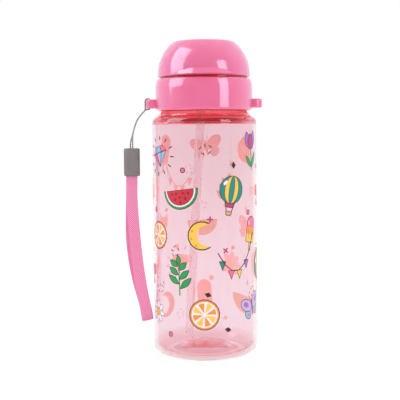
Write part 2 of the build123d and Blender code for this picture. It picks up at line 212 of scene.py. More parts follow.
# %% Lamps
def soft_lamp(name, azimuth, elevation, roll, width, height, radiance):
    """A rectangular lamp that faces the bottle and adds to its gloss, not to the soft light.
    Azimuth 0 is the camera's side, 90 the right."""
    data = bpy.data.lights.new(name, "AREA")
    data.shape = "RECTANGLE"
    data.size, data.size_y = width, height
    data.energy = radiance * pi * width * height
    data.color = (0.97, 0.94, 1.10)
    lamp = bpy.data.objects.new(name, data)
    scene.collection.objects.link(lamp)
    lamp.visible_diffuse = False
    turn, rise = radians(azimuth), radians(elevation)
    away = Vector((sin(turn) * cos(rise), -cos(turn) * cos(rise), sin(rise)))
    lamp.location = lamp_target + away * lamp_distance
    aim = Matrix.Rotation(turn, 4, "Z") @ Matrix.Rotation(pi / 2 - rise, 4, "X")
    lamp.rotation_euler = (aim @ Matrix.Rotation(radians(roll), 4, "Z")).to_euler()


lamp_target, lamp_distance = mm(0, 0, 165), 0.8
soft_lamp("broad_lamp_left", -75, 33, 12, 0.54, 0.86, 3.4)
soft_lamp("narrow_lamp_right", 47.5, 17, 0, 0.31, 0.46, 3.8)

# %% [markdown]
# ## Table
# The table top is white and shows only a trace of shadow where the foot meets it, so most
# of what is seen of it is its own glow, made a little brighter near the bottle as painted light,
# and the rest is light that the bottle can shade.
# To everything else in the room it is a plain surface, white at the back and darker
# towards the front, which is painted shade.

# %% Table
table_size = 2.5
front_shade, back_shade, shadow_shade = 0.23, 0.80, 0.3
near_glow, far_glow = 0.66, 0.62
table_mesh = bpy.data.meshes.new("table_top")
bm = bmesh.new()
bmesh.ops.create_grid(bm, x_segments=1, y_segments=1, size=table_size)
bm.to_mesh(table_mesh)
bm.free()
table_top = bpy.data.objects.new("table_top", table_mesh)
scene.collection.objects.link(table_top)

table_white = bpy.data.materials.new("table_white")
table_white.use_nodes = True
tree = table_white.node_tree
tree.nodes.clear()
depth = axis_node(tree, place_node(tree), "Y")
paint = tree.nodes.new("ShaderNodeBsdfDiffuse")
# Painted shade: to reflections and bounced light the table darkens towards the front.
painted_front_shade = range_node(tree, depth, -1.6, -0.1, front_shade, back_shade, smooth=True)
feed(tree, painted_front_shade, paint.inputs["Color"])
shaded = tree.nodes.new("ShaderNodeBsdfDiffuse")
shaded.inputs["Color"].default_value = (shadow_shade, shadow_shade, shadow_shade, 1)
# Painted light: the glow is a little stronger near the bottle than far off.
glow = tree.nodes.new("ShaderNodeEmission")
feed(tree, range_node(tree, depth, 0.1, 2.4, near_glow, far_glow), glow.inputs["Strength"])
both = tree.nodes.new("ShaderNodeAddShader")
feed(tree, shaded.outputs["BSDF"], both.inputs[0])
feed(tree, glow.outputs["Emission"], both.inputs[1])
rays = tree.nodes.new("ShaderNodeLightPath").outputs
seen = math_node(tree, "MAXIMUM", rays["Is Camera Ray"], rays["Is Transmission Ray"])
choose = tree.nodes.new("ShaderNodeMixShader")
for socket, value in zip(choose.inputs, (seen, paint.outputs["BSDF"], both.outputs["Shader"])):
    feed(tree, value, socket)
output = tree.nodes.new("ShaderNodeOutputMaterial")
feed(tree, choose.outputs["Shader"], output.inputs["Surface"])
table_mesh.materials.append(table_white)

# %% [markdown]
# ## Shared surface detail
# Every moulded part has a skin that is almost, but not quite, even: the gloss drifts a
# little, and the surface has a faint ripple. A node group holds that pattern once, and
# each material places it with its own grain size, gloss and depth.


# %% Node group: moulded skin
moulded_skin = bpy.data.node_groups.new("moulded_skin", "ShaderNodeTree")
for name, kind, way in (
    ("Grain per metre", "Float", "INPUT"),
    ("Roughness", "Float", "INPUT"),
    ("Drift", "Float", "INPUT"),
    ("Depth", "Float", "INPUT"),
    ("Roughness", "Float", "OUTPUT"),
    ("Normal", "Vector", "OUTPUT"),
):
    moulded_skin.interface.new_socket(name=name, in_out=way, socket_type=f"NodeSocket{kind}")
given = moulded_skin.nodes.new("NodeGroupInput").outputs
leave = moulded_skin.nodes.new("NodeGroupOutput")
place = place_node(moulded_skin)
grain = noise_node(moulded_skin, place, given["Grain per metre"], detail=3.0)
patches = math_node(moulded_skin, "SUBTRACT", noise_node(moulded_skin, place, 60.0), 0.5)
gloss = math_node(moulded_skin, "MULTIPLY_ADD", patches, given["Drift"], given["Roughness"])
bump = moulded_skin.nodes.new("ShaderNodeBump")
bump.inputs["Distance"].default_value = 0.001
feed(moulded_skin, grain, bump.inputs["Height"])
feed(moulded_skin, given["Depth"], bump.inputs["Strength"])
feed(moulded_skin, gloss, leave.inputs["Roughness"])
feed(moulded_skin, bump.outputs["Normal"], leave.inputs["Normal"])


# %% Material helpers
def new_material(name, settings):
    """A material with one Principled shader, whose sockets are set by name."""
    material = bpy.data.materials.new(name)
    material.use_nodes = True
    shader = material.node_tree.nodes["Principled BSDF"]
    for socket, value in settings.items():
        shader.inputs[socket].default_value = value
    return material, shader


def add_skin(material, shader, grain, roughness, drift, depth):
    """Give a shader the shared moulded skin, with this material's own values."""
    tree = material.node_tree
    skin = tree.nodes.new("ShaderNodeGroup")
    skin.node_tree = moulded_skin
    for socket, value in zip(skin.inputs, (grain, roughness, drift, depth)):
        socket.default_value = value
    for name in ("Roughness", "Normal"):
        feed(tree, skin.outputs[name], shader.inputs[name])


def add_tone(material, shader, low, high, scale):
    """Let the colour wander softly between two close tones."""
    tree = material.node_tree
    cloud = noise_node(tree, place_node(tree), scale)
    feed(tree, mix_node(tree, cloud, low, high), shader.inputs["Base Color"])


def let_light_pass(material, shader, tint):
    """Let lamps and soft light through a clear part, as the real one does."""
    tree = material.node_tree
    path = tree.nodes.new("ShaderNodeLightPath")
    open_way = tree.nodes.new("ShaderNodeBsdfTransparent")
    open_way.inputs["Color"].default_value = tint
    surface = shader.outputs["BSDF"]
    for ray in ("Is Diffuse Ray", "Is Shadow Ray"):
        choose = tree.nodes.new("ShaderNodeMixShader")
        for socket, value in zip(choose.inputs, (path.outputs[ray], surface, open_way.outputs["BSDF"])):
            feed(tree, value, socket)
        surface = choose.outputs["Shader"]
    feed(tree, surface, tree.nodes["Material Output"].inputs["Surface"])


def evenly_tinted(material, name, tint):
    """A copy of a material that has one even colour instead of a pattern."""
    made = material.copy()
    made.name = name
    shader = made.node_tree.nodes["Principled BSDF"]
    made.node_tree.links.remove(shader.inputs["Base Color"].links[0])
    shader.inputs["Base Color"].default_value = tint
    return made, shader


# %% [markdown]
# ## Finishes
# The lid parts are polished polypropylene, opaque pink right through; their nooks and gaps
# are painted deep red with less gloss, which is painted shade. The bottle is a clear pink
# copolyester. Its tint sits on the surface of the wall and changes with height: pale low down,
# which is painted light, stronger towards the shoulder, and redder at the foot, in the middle of
# the base and in the neck, where the eye looks through more plastic.

# %% Lid, bottle, straw
lid_pink, shader = new_material(
    "lid_pink_plastic",
    {
        "IOR": 1.49,
        "Coat Weight": 1.0,
        "Coat Roughness": 0.03,
        "Coat IOR": 1.6,
        "Subsurface Weight": 0.8,
        "Subsurface Radius": (3.0, 0.45, 0.6),
        "Subsurface Scale": 0.001,
    },
)
add_skin(lid_pink, shader, 420.0, 0.16, 0.05, 0.010)
add_tone(lid_pink, shader, (0.800, 0.172, 0.338, 1), (0.830, 0.184, 0.358, 1), 45.0)
tree = lid_pink.node_tree
# Painted shade: where the AO node finds a nook, the colour turns deep red and the coat fades out.
crevice_shade_ao = tree.nodes.new("ShaderNodeAmbientOcclusion")
crevice_shade_ao.inputs["Distance"].default_value = 0.004
crevice_shade_ao.samples = 8
unshaded_share = range_node(tree, crevice_shade_ao.outputs["AO"], 0.25, 0.75)
tone = shader.inputs["Base Color"].links[0].from_socket
painted_crevice_shade = mix_node(tree, unshaded_share, (0.80, 0.012, 0.022, 1), tone)
feed(tree, painted_crevice_shade, shader.inputs["Base Color"])
feed(tree, unshaded_share, shader.inputs["Coat Weight"])

clear_pink, shader = new_material(
    "clear_pink_wall",
    {"Transmission Weight": 1.0, "IOR": 1.52},
)
add_skin(clear_pink, shader, 90.0, 0.02, 0.02, 0.012)
let_light_pass(clear_pink, shader, (0.97, 0.97, 0.97, 1))
foot_tint = (0.875, 0.545, 0.585, 1)
# Painted light: the wall's tint is paler low down than towards the shoulder.
painted_light_lower_tint = (0.950, 0.822, 0.868, 1)
upper_tint = (0.924, 0.740, 0.777, 1)
neck_tint = (0.90, 0.20, 0.22, 1)
base_tint = (0.86, 0.30, 0.32, 1)
tree = clear_pink.node_tree
height = range_node(tree, axis_node(tree, place_node(tree), "Z"), 0.0, 0.15)
tints = tree.nodes.new("ShaderNodeValToRGB")
stops = tints.color_ramp.elements
stops[0].color = foot_tint
stops[0].position = 0.028
stops.new(0.075).color = painted_light_lower_tint
stops[2].color = upper_tint
feed(tree, height, tints.inputs["Fac"])
feed(tree, tints.outputs["Color"], shader.inputs["Base Color"])

clear_base, _ = evenly_tinted(clear_pink, "clear_pink_base", base_tint)
clear_neck, shader = evenly_tinted(clear_pink, "clear_pink_neck", neck_tint)
for socket, value in {"IOR": 1.15, "Coat Weight": 0.7, "Coat IOR": 1.9}.items():
    shader.inputs[socket].default_value = value

straw_clear, shader = new_material(
    "straw_clear_plastic",
    {"Base Color": (0.97, 0.90, 0.92, 1), "Transmission Weight": 0.95, "IOR": 1.3},
)
add_skin(straw_clear, shader, 500.0, 0.03, 0.02, 0.002)
let_light_pass(straw_clear, shader, (0.93, 0.88, 0.90, 1))

# %% Silicone, steel, rubber
silicone, shader = new_material(
    "silicone_milky",
    {"IOR": 1.41, "Subsurface Weight": 0.35, "Subsurface Scale": 0.002, "Transmission Weight": 0.25},
)
add_skin(silicone, shader, 900.0, 0.42, 0.10, 0.03)
add_tone(silicone, shader, (0.86, 0.84, 0.85, 1), (0.92, 0.90, 0.91, 1), 80.0)

steel, shader = new_material("hinge_pin_steel", {"Base Color": (0.62, 0.61, 0.60, 1), "Metallic": 1.0})
add_skin(steel, shader, 1500.0, 0.30, 0.12, 0.02)

ferrule_rubber, shader = new_material("ferrule_rubber", {"IOR": 1.5, "Specular IOR Level": 0.35})
add_skin(ferrule_rubber, shader, 1300.0, 0.55, 0.12, 0.06)
add_tone(ferrule_rubber, shader, shade(122, 115, 113), shade(132, 126, 124), 160.0)

node_finish = {
    "mouth_gasket": silicone,
    "drinking_spout": silicone,
    "straw": straw_clear,
    "screw_collar": lid_pink,
    "vent_valve": silicone,
    "hinge_pin": steel,
    "dome_lid": lid_pink,
    "spout_stopper": silicone,
    "lanyard_ferrule": ferrule_rubber,
}
for name, material in node_finish.items():
    mesh = nodes[name].data
    mesh.materials.clear()
    mesh.materials.append(material)
    print(name, "->", material.name)

# %% [markdown]
# ## Bottle
# The shell is turned again here with finer facets than the solid model has, because a clear
# wall shows every one of them. The neck gets its thread at the same time: a ridge that
# climbs five millimetres a turn, right-handed, for a turn and a half. The collar's own
# thread is a separate strip inside it, half a pitch away, so that the two slide past each
# other as the cap turns. It is one turn long, and stops short of the gasket when the cap is
# unscrewed.


# %% Outlines
def rounded(corners, closed=True, step=15):
    """An outline through (x, z, radius) corners, with each corner turned into an arc."""
    points = []
    for index, (x, z, radius) in enumerate(corners):
        corner = Vector((x, z))
        if radius == 0 or (not closed and index in (0, len(corners) - 1)):
            points.append(corner)
            continue
        back = (Vector(corners[index - 1][:2]) - corner).normalized()
        ahead = (Vector(corners[(index + 1) % len(corners)][:2]) - corner).normalized()
        half = back.angle(ahead) / 2
        centre = corner + (back + ahead).normalized() * radius / sin(half)
        first = corner + back * radius / tan(half) - centre
        turn = (pi - 2 * half) * (1 if ahead.cross(back) > 0 else -1)
        steps = max(2, ceil(abs(turn) / radians(step)))
        points += [centre + Matrix.Rotation(turn * n / steps, 2) @ first for n in range(steps + 1)]
    return points


def turned(points, segments):
    """Spin an outline of (radius, height) points, in millimetres, once round the Z axis.
    The seam is at the front."""
    bm = bmesh.new()
    verts = [bm.verts.new(mm(0, -x, z)) for x, z in points]
    edges = [bm.edges.new(pair) for pair in zip(verts, verts[1:])]
    bmesh.ops.spin(
        bm, geom=verts + edges, axis=(0, 0, 1), cent=(0, 0, 0), angle=2 * pi, steps=segments, use_merge=True
    )
    bmesh.ops.remove_doubles(bm, verts=bm.verts, dist=1e-6)
    bmesh.ops.recalc_face_normals(bm, faces=bm.faces)
    return bm


# %% Bottle shell
facets = 120
_, body_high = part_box("bottle_body")
body_radius, mouth_z = body_high.x / MM, body_high.z / MM
wall = 1.8
base_rise, floor_thickness = 5.2, 2.4
neck_radius, neck_bore = 26.6, 25.0
shoulder_z, shoulder_wall = 149.2, 3.1
ledge_radius, ledge_z, ledge_height = 29.9, 151.6, 0.35
slope = (ledge_z - ledge_height - shoulder_z) / (body_radius - ledge_radius)
slope_foot_z = shoulder_z + slope * wall - shoulder_wall
slope_top_z = slope_foot_z + slope * (body_radius - wall - neck_bore)
thread_foot, thread_head, thread_pitch, thread_turns = 156.6, 166.4, 5.0, 1.5
thread_start, thread_height, thread_flank = thread_foot + 1.4, 1.0, 0.75
ring_step = 0.35
neck_tint_z, base_tint_radius = shoulder_z - 2, 10.8

outside = rounded(
    [
        # the gate mark in the middle of the raised base
        (0, base_rise - 0.8, 0),
        (2.0, base_rise - 0.8, 0.3),
        (2.3, base_rise, 0.3),
        # the raised base and the foot round it
        (11.0, base_rise, 28.0),
        (21.0, 0, 0.8),
        (body_radius, 0, 7.0),
        # the wall
        (body_radius, 7.4, 0),
        (body_radius, shoulder_z - 2.2, 0),
        # the shoulder, its ledge and the root of the neck
        (body_radius, shoulder_z, 3.4),
        (ledge_radius, ledge_z - ledge_height, 0.2),
        (ledge_radius, ledge_z, 0.2),
        (ledge_radius - 0.8, ledge_z, 0.2),
        (28.8, ledge_z + 0.88, 0.8),
        (27.3, ledge_z + 2.2, 0.5),
        (neck_radius, ledge_z + 2.6, 0.2),
        (neck_radius, thread_foot, 0),
    ],
    closed=False,
    step=10,
)
ring_count = round((thread_head - thread_foot) / ring_step)
thread_rings = [(neck_radius, thread_foot + ring_step * n) for n in range(1, ring_count)]
inside = rounded(
    [
        # the lip
        (neck_radius, thread_head, 0),
        (neck_radius, mouth_z, 0.5),
        (neck_bore, mouth_z, 0.5),
        # the shoulder and the wall from within
        (neck_bore, slope_top_z, 2.0),
        (body_radius - wall, slope_foot_z, 2.5),
        (body_radius - wall, slope_foot_z - 1.7, 0),
        (body_radius - wall, 8.0, 0),
        # the floor
        (body_radius - wall, floor_thickness, 5.2),
        (20.5, floor_thickness, 1.5),
        (10.6, base_rise + floor_thickness, 28.0),
        (0, base_rise + floor_thickness, 0),
    ],
    closed=False,
    step=10,
)
shell = turned([*outside, *thread_rings, *inside], facets)


def thread_climb(angle):
    """Heights of the thread's middle line at an angle round the neck, one for each turn."""
    turn = (angle / (2 * pi)) % 1.0
    return [thread_start + thread_pitch * (turn + n) for n in range(2) if turn + n <= thread_turns]


for vertex in shell.verts:
    radius, height = vertex.co.xy.length / MM, vertex.co.z / MM
    if abs(radius - neck_radius) > 0.01 or not thread_foot < height < thread_head:
        continue
    ridge = 0.0
    for middle in thread_climb(atan2(vertex.co.y, vertex.co.x)):
        flank = (1.5 - abs(height - middle) / thread_flank) * 2
        ridge = max(ridge, thread_height * min(1.0, max(0.0, flank)))
    vertex.co.xy *= (radius + ridge) / radius
for face in shell.faces:
    middle = face.calc_center_median() / MM
    if middle.z > neck_tint_z:
        face.material_index = 1
    elif middle.xy.length < base_tint_radius and middle.z < 2 * base_rise:
        face.material_index = 2
bottle = piece("bottle_clear_shell", shell, clear_pink, "bottle", 35)
bottle.data.materials.append(clear_neck)
bottle.data.materials.append(clear_base)
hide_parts("bottle_body")

# %% Collar thread
collar_bore, strip_turns, strip_start = 28.4, 1.0, 0.14
strip_foot = thread_start + thread_pitch * (strip_start - 0.5)
root, root_half = collar_bore + 0.2, 1.3
crest, crest_half = collar_bore - 1.2, 0.6
section = [(root, -root_half), (crest, -crest_half), (crest, crest_half), (root, root_half)]
strip = bmesh.new()
corners = [strip.verts.new(mm(x, 0, strip_foot + z)) for x, z in section]
ends = [strip.edges.new((a, b)) for a, b in zip(corners, corners[1:] + corners[:1])]
bmesh.ops.spin(
    strip,
    geom=corners + ends,
    axis=(0, 0, 1),
    cent=(0, 0, 0),
    angle=2 * pi * strip_turns,
    steps=round(facets * strip_turns),
    dvec=mm(0, 0, thread_pitch / facets),
)
start_turn = Matrix.Rotation(2 * pi * strip_start, 3, "Z")
bmesh.ops.rotate(strip, verts=strip.verts, cent=(0, 0, 0), matrix=start_turn)
bmesh.ops.holes_fill(strip, edges=strip.edges, sides=4)
bmesh.ops.recalc_face_normals(strip, faces=strip.faces)
piece("collar_thread", strip, lid_pink, "screw_cap", 30)

# %% [markdown]
# ## Print
# A cheerful pattern of toys, treats and flowers runs all the way round. Each motif is
# drawn flat, in millimetres, from a few filled shapes with dark outlines, cut at every facet
# of the bottle and wrapped round it. Each shape is there twice: as printed, a hair outside
# the wall, and from behind, a hair inside its surface, where the salmon of the underlay
# shows through the bottle. The back glows a little, which stands in for the light that
# shines through the ink.

# %% Ink
inks = {
    "line": shade(62, 34, 44),
    "teal": shade(30, 140, 130),
    "magenta": shade(190, 60, 120),
    "green": shade(40, 160, 80),
    "pink": shade(240, 110, 150),
    "orange": shade(240, 150, 60),
    "yellow": shade(250, 200, 80),
    "purple": shade(170, 110, 190),
    "lilac": shade(200, 180, 225),
    "blue": shade(140, 190, 220),
    "white": shade(250, 235, 245),
    "red": shade(210, 40, 60),
    "brown": shade(150, 95, 70),
    "tan": shade(235, 190, 130),
}
underlay = (0.92, 0.50, 0.42, 1)
facet_width = 2 * pi * body_radius / facets

print_ink, shader = new_material("print_ink", {"IOR": 1.5, "Specular IOR Level": 0.4})
add_skin(print_ink, shader, 700.0, 0.34, 0.10, 0.02)
tree = print_ink.node_tree
colour = tree.nodes.new("ShaderNodeAttribute")
colour.attribute_name = "ink"
cover = range_node(tree, noise_node(tree, place_node(tree), 900.0), 0.0, 1.0, 0.86, 1.06)
tint = mix_node(tree, 1.0, colour.outputs["Color"], cover, blend="MULTIPLY")
feed(tree, tint, shader.inputs["Base Color"])

print_back = print_ink.copy()
print_back.name = "print_back"
shader = print_back.node_tree.nodes["Principled BSDF"]
shader.inputs["Emission Color"].default_value = (1.0, 0.42, 0.36, 1)
shader.inputs["Emission Strength"].default_value = 0.30


# %% Drawing tools
disc_corners, fan_step, leaf_steps, motif_reach = 20, 15, 6, 10


def disc(x, z, width, height=None, tilt=0):
    """Points of an ellipse, given by its half width and half height and turned by degrees."""
    spin = Matrix.Rotation(radians(tilt), 2)
    angles = [2 * pi * n / disc_corners for n in range(disc_corners)]
    return [spin @ Vector((width * cos(a), (height or width) * sin(a))) + Vector((x, z)) for a in angles]


def fan(x, z, radius, start, end):
    """Points of a slice of a disc, from one angle to another in degrees."""
    count = max(3, round(abs(end - start) / fan_step))
    angles = [radians(start + (end - start) * n / count) for n in range(count + 1)]
    return [Vector((x, z)), *(Vector((x + radius * cos(a), z + radius * sin(a))) for a in angles)]


def leaf(x, z, length, width, tilt):
    """Points of a pointed leaf that grows from a place in a direction in degrees."""
    spin = Matrix.Rotation(radians(tilt), 2)
    steps = [n / leaf_steps for n in range(leaf_steps + 1)]
    side = [(length * step, width / 2 * sin(pi * step)) for step in steps]
    outline = side + [(a, -b) for a, b in reversed(side[1:-1])]
    return [spin @ Vector(point) + Vector((x, z)) for point in outline]


class Sheet:
    """Artwork that is drawn flat, x to the right and z up, and wrapped round the bottle."""

    def __init__(self):
        self.wrapped = bmesh.new()
        self.wrapped.loops.layers.float_color.new("ink")

    def motif(self, draw, x, z, tilt, size):
        """Draw one motif about a place, turned by degrees, then cut and wrap it."""
        self.bm = bmesh.new()
        self.ink = self.bm.loops.layers.float_color.new("ink")
        self.place = Matrix.Rotation(radians(tilt), 2) * size
        self.centre, self.level = Vector((x, z)), 0
        draw(self)
        bmesh.ops.triangulate(self.bm, faces=self.bm.faces)
        nearest = round(x / facet_width)
        for line in range(nearest - motif_reach, nearest + motif_reach + 1):
            bmesh.ops.bisect_plane(
                self.bm,
                geom=[*self.bm.verts, *self.bm.edges, *self.bm.faces],
                plane_co=mm(line * facet_width, 0, 0),
                plane_no=(1, 0, 0),
            )
        for vertex in self.bm.verts:
            across, depth, height = vertex.co
            angle, radius = across / (body_radius * MM), body_radius * MM - depth
            vertex.co = (radius * sin(angle), -radius * cos(angle), height)
        motif = bpy.data.meshes.new("motif")
        self.bm.to_mesh(motif)
        self.bm.free()
        self.wrapped.from_mesh(motif)
        bpy.data.meshes.remove(motif)

    def face(self, points, depth, colour):
        """One flat face at a depth in millimetres. It looks inward if it lies in the wall."""
        spots = [self.place @ Vector(point) + self.centre for point in points]
        made = self.bm.faces.new([self.bm.verts.new(mm(x, depth, z)) for x, z in spots])
        made.normal_update()
        if (made.normal.y > 0) != (depth > 0):
            made.normal_flip()
        made.material_index = 1 if depth > 0 else 0
        self.paint([made], colour)
        return made

    def paint(self, faces, colour):
        """Colour every corner of some faces."""
        for face in faces:
            for loop in face.loops:
                loop[self.ink] = colour

    def patch(self, points, ink, line=0.4):
        """A filled shape with a dark outline, on top of what the motif has so far."""
        self.level += 1
        self.face(points, 0.03 - 0.001 * self.level, mixed(underlay, inks[ink], 0.2))
        front = self.face(points, -0.02 - 0.012 * self.level, inks[ink])
        if line:
            rim = bmesh.ops.inset_individual(
                self.bm, faces=[front], thickness=line * MM, use_even_offset=True
            )
            self.paint(rim["faces"], inks["line"])

    def stroke(self, x0, z0, x1, z1, ink="line", width=0.6):
        """A straight pen stroke with rounded ends."""
        run = Vector((x1 - x0, z1 - z0))
        along, across = run.normalized() * width / 2, run.orthogonal().normalized() * width / 2
        a, b = Vector((x0, z0)), Vector((x1, z1))
        outline = [a - along, a - across, b - across, b + along, b + across, a + across]
        self.patch(outline, ink, line=0)


# %% Motifs
def balloon(s):
    s.stroke(-3.4, -6, -2, -11)
    s.stroke(3.4, -6, 2, -11)
    s.patch(rounded([(-4.6, -4, 0.5), (-2.6, -8.4, 0.6), (2.6, -8.4, 0.6), (4.6, -4, 0.5)]), "magenta")
    s.patch(disc(0, 4, 9.4, 9.8), "teal")
    s.patch(disc(0, 4, 5.6, 9.8), "yellow", 0.3)
    s.patch(disc(0, 4, 2.2, 9.8), "teal", 0.3)
    s.patch(rounded([(-2.6, -10.8, 0.4), (-2, -14, 0.9), (2, -14, 0.9), (2.6, -10.8, 0.4)]), "tan")
    for height in (-11.9, -13):
        s.stroke(-2.1, height, 2.1, height, "brown", 0.35)
    s.patch(disc(-5.6, 8, 1.0, 2.0, -35), "white", 0)


def lolly(s):
    s.patch(rounded([(-1.2, -12.5, 1.1), (1.2, -12.5, 1.1), (1.2, -5, 0), (-1.2, -5, 0)]), "tan")
    s.patch(rounded([(-5.2, -6.5, 1.6), (5.2, -6.5, 1.6), (5.2, 12, 5.1), (-5.2, 12, 5.1)]), "pink", 0.5)
    s.patch(rounded([(-4.8, -6.1, 1.3), (4.8, -6.1, 1.3), (4.8, -1.6, 0), (-4.8, -0.4, 0)]), "yellow", 0)
    s.patch([(-4.8, -0.4), (4.8, -1.6), (4.8, 3.6), (-4.8, 4.8)], "orange", 0)
    s.stroke(-2.8, 6, -2.8, 8.6, "white", 0.9)
    s.stroke(-2.0, -4, -2.0, 1.5, "brown", 0.4)
    s.stroke(1.6, -4.4, 1.6, 1.1, "brown", 0.4)


def melon(s):
    s.patch(fan(0, 4, 12, 180, 360), "green", 0.5)
    s.patch(fan(0, 4, 10.4, 180, 360), "white", 0)
    s.patch(fan(0, 4, 9.5, 180, 360), "red", 0.25)
    upper_pips = [(-5.5, 1.5), (-2.4, 1.8), (2.4, 1.8), (5.5, 1.5)]
    lower_pips = [(-3.4, -1.6), (0, -0.6), (3.4, -1.6), (0, -3.6)]
    for x, z in upper_pips + lower_pips:
        s.patch(disc(x, z, 0.45, 0.8, x * 8), "line", 0)


def daisy(s):
    for n in range(8):
        angle = 45 * n
        s.patch(disc(4.7 * cos(radians(angle)), 4.7 * sin(radians(angle)), 3.6, 2.0, angle), "white", 0.3)
    s.patch(disc(0, 0, 2.9), "yellow", 0.35)
    for n in range(5):
        s.patch(disc(1.4 * cos(1.26 * n), 1.4 * sin(1.26 * n), 0.28), "orange", 0)


def butterfly(s):
    for side in (1, -1):
        s.patch(disc(side * 5.4, -3.2, 3.6, 3.0, side * 40), "blue")
        s.patch(disc(side * 5.8, 3.2, 6.2, 4.0, side * 35), "lilac")
        s.patch(disc(side * 6.4, 3.8, 2.8, 1.7, side * 35), "purple", 0)
        s.patch(disc(side * 5.2, -3.6, 1.1), "pink", 0)
        s.stroke(side * 0.3, 4.6, side * 2.4, 8.2, width=0.4)
    s.patch(disc(0, 0, 0.9, 5.4), "magenta", 0.3)


def sprig(s):
    s.stroke(-0.4, -12, 0.6, 8, "green", 0.9)
    for z, side in ((-8, 1), (-5, -1), (-2, 1), (1, -1), (4, 1), (6.4, -1)):
        s.patch(leaf(0, z, 9.2 - 0.25 * z, 4.4, 90 - side * 52), "green")
    s.patch(leaf(0.5, 7, 7, 3.8, 88), "green")


def citrus(s):
    s.patch(disc(0, 0, 9.4), "orange", 0.5)
    s.patch(disc(0, 0, 7.9), "white", 0)
    for n in range(8):
        centre = 45 * n + 10
        x, z = 0.9 * cos(radians(centre)), 0.9 * sin(radians(centre))
        s.patch(fan(x, z, 6.2, centre - 18, centre + 18), "yellow" if n % 2 else "orange", 0)


def gem(s):
    top, girdle, foot = 5.0, 1.0, -8.0
    for x0, x1, x2, x3, ink in (
        (-5, -2, -2.8, -8, "lilac"),
        (-2, 2, 2.8, -2.8, "blue"),
        (2, 5, 8, 2.8, "pink"),
    ):
        s.patch([(x3, girdle), (x2, girdle), (x1, top), (x0, top)], ink, 0.3)
    for x0, x1, ink in ((-8, -2.8, "pink"), (-2.8, 2.8, "lilac"), (2.8, 8, "blue")):
        s.patch([(0, foot), (x1, girdle), (x0, girdle)], ink, 0.3)
    for angle in range(15, 360, 30):
        a = radians(angle)
        s.stroke(11 * cos(a), 10 * sin(a) - 1, 13.4 * cos(a), 12.2 * sin(a) - 1, width=0.7)


def bow(s):
    for side in (1, -1):
        tail = [(0, 0, 0), (side * 7, -9, 0.4), (side * 4, -8, 0.2), (side * 2.6, -10.5, 0.4)]
        loop = [(0, 0.6, 0), (side * 9.5, 5.6, 2.4), (side * 9.5, -4.4, 2.4)]
        s.patch(rounded(tail), "magenta")
        s.patch(rounded(loop), "pink", 0.45)
        s.stroke(side * 3, 0.6, side * 6.4, 1.6, "magenta", 0.5)
    s.patch(disc(0, 0.4, 2.2, 2.6), "magenta", 0.45)


def tulip(s):
    s.stroke(0, -13, 0, 0, "green", 1.1)
    s.patch(leaf(0, -12, 11, 3.6, 58), "green", 0.35)
    s.patch(leaf(0, -12, 10, 3.4, 126), "green", 0.35)
    s.patch(leaf(-1.6, -1, 11.5, 6.0, 103), "purple")
    s.patch(leaf(1.6, -1, 11.5, 6.0, 77), "purple")
    s.patch(leaf(0, -1.6, 10.5, 6.4, 90), "magenta")


def crescent(s):
    for ink, size in (("line", 1.0), ("yellow", 0.92)):
        outer = [Vector((8.6, 0)) @ Matrix.Rotation(radians(-52 - 12.8 * n), 2) for n in range(21)]
        inner = [Vector((6.9, 0)) @ Matrix.Rotation(radians(-282 + 13.6 * n), 2) for n in range(16)]
        hollow = [point + Vector((3.7, 0)) for point in inner]
        s.patch([point * size for point in outer + hollow], ink, 0)
    for x, z in ((-5.6, 3.2), (-6.4, -1.4), (-3.6, -5.6)):
        s.patch(disc(x, z, 0.7), "orange", 0)


def bunting(s):
    sag = 0.08
    for n, ink in enumerate(("teal", "pink", "yellow", "purple")):
        x = -9 + 6 * n
        z = sag * x * x
        s.patch([(x - 2.4, z + 2), (x, z - 4), (x + 2.4, z + 2)], ink, 0.35)
    for n in range(6):
        x = -12 + 4.8 * n
        s.stroke(x, sag * x * x + 2, x + 4.8, sag * (x + 4.8) ** 2 + 2)


def dashes(s):
    for x, z, tilt in ((-3, 1.6, 40), (0, 2.6, 90), (3, 1.6, 140), (-2, -1.8, 140), (2, -1.8, 40)):
        a = radians(tilt)
        s.stroke(x - 0.9 * cos(a), z - 0.9 * sin(a), x + 0.9 * cos(a), z + 0.9 * sin(a), width=0.55)


def diamond(s):
    s.patch([(0, -2.6), (1.8, 0), (0, 2.6), (-1.8, 0)], "line", 0)


def plus(s):
    s.stroke(-1.8, 0, 1.8, 0, "magenta", 1.1)
    s.stroke(0, -1.8, 0, 1.8, "magenta", 1.1)


def ring(s):
    s.patch(disc(0, 0, 1.9), "pink", 0.5)


# %% Sheet
rows = [
    [dashes, tulip, citrus, butterfly, lolly, gem],
    [balloon, bow, sprig, bunting, daisy, melon],
    [crescent, lolly, butterfly, melon, tulip, citrus],
    [bunting, balloon, daisy, gem, bow, sprig],
    [citrus, butterfly, melon, lolly, crescent, daisy],
]
fillers = [diamond, ring, plus, dashes]
row_top, row_step = 129.0, 25.0
sheet = Sheet()
chance = random.Random(5)
for row, motifs in enumerate(rows):
    for column, draw in enumerate(motifs):
        x = facet_width * facets * (column + 0.5 * (row % 2)) / len(motifs) + chance.uniform(-2.5, 2.5)
        z = row_top - row_step * row + chance.uniform(-2.5, 2.5)
        sheet.motif(draw, x, z, chance.uniform(-14, 14), chance.uniform(0.88, 1.05))
        across, drop = chance.uniform(12, 20), chance.uniform(-14, -9)
        filler = fillers[(row + column) % len(fillers)]
        sheet.motif(filler, x + across, z + drop, chance.uniform(0, 90), 0.9)
bottle_print = piece("bottle_print", sheet.wrapped, print_ink, "bottle", 80)
bottle_print.data.materials.append(print_back)

# %% [markdown]
# ## Wrist strap
# A thin twisted cord is doubled, hitched round the bar of the left lug, and its two ends
# go into a rubber ferrule with the two ends of a webbing loop. Both are made the same way:
# a straight rod with many rings, laid along a smooth route. The route is a NURBS spline,
# read back as points, so the rod bends as the real cord does.


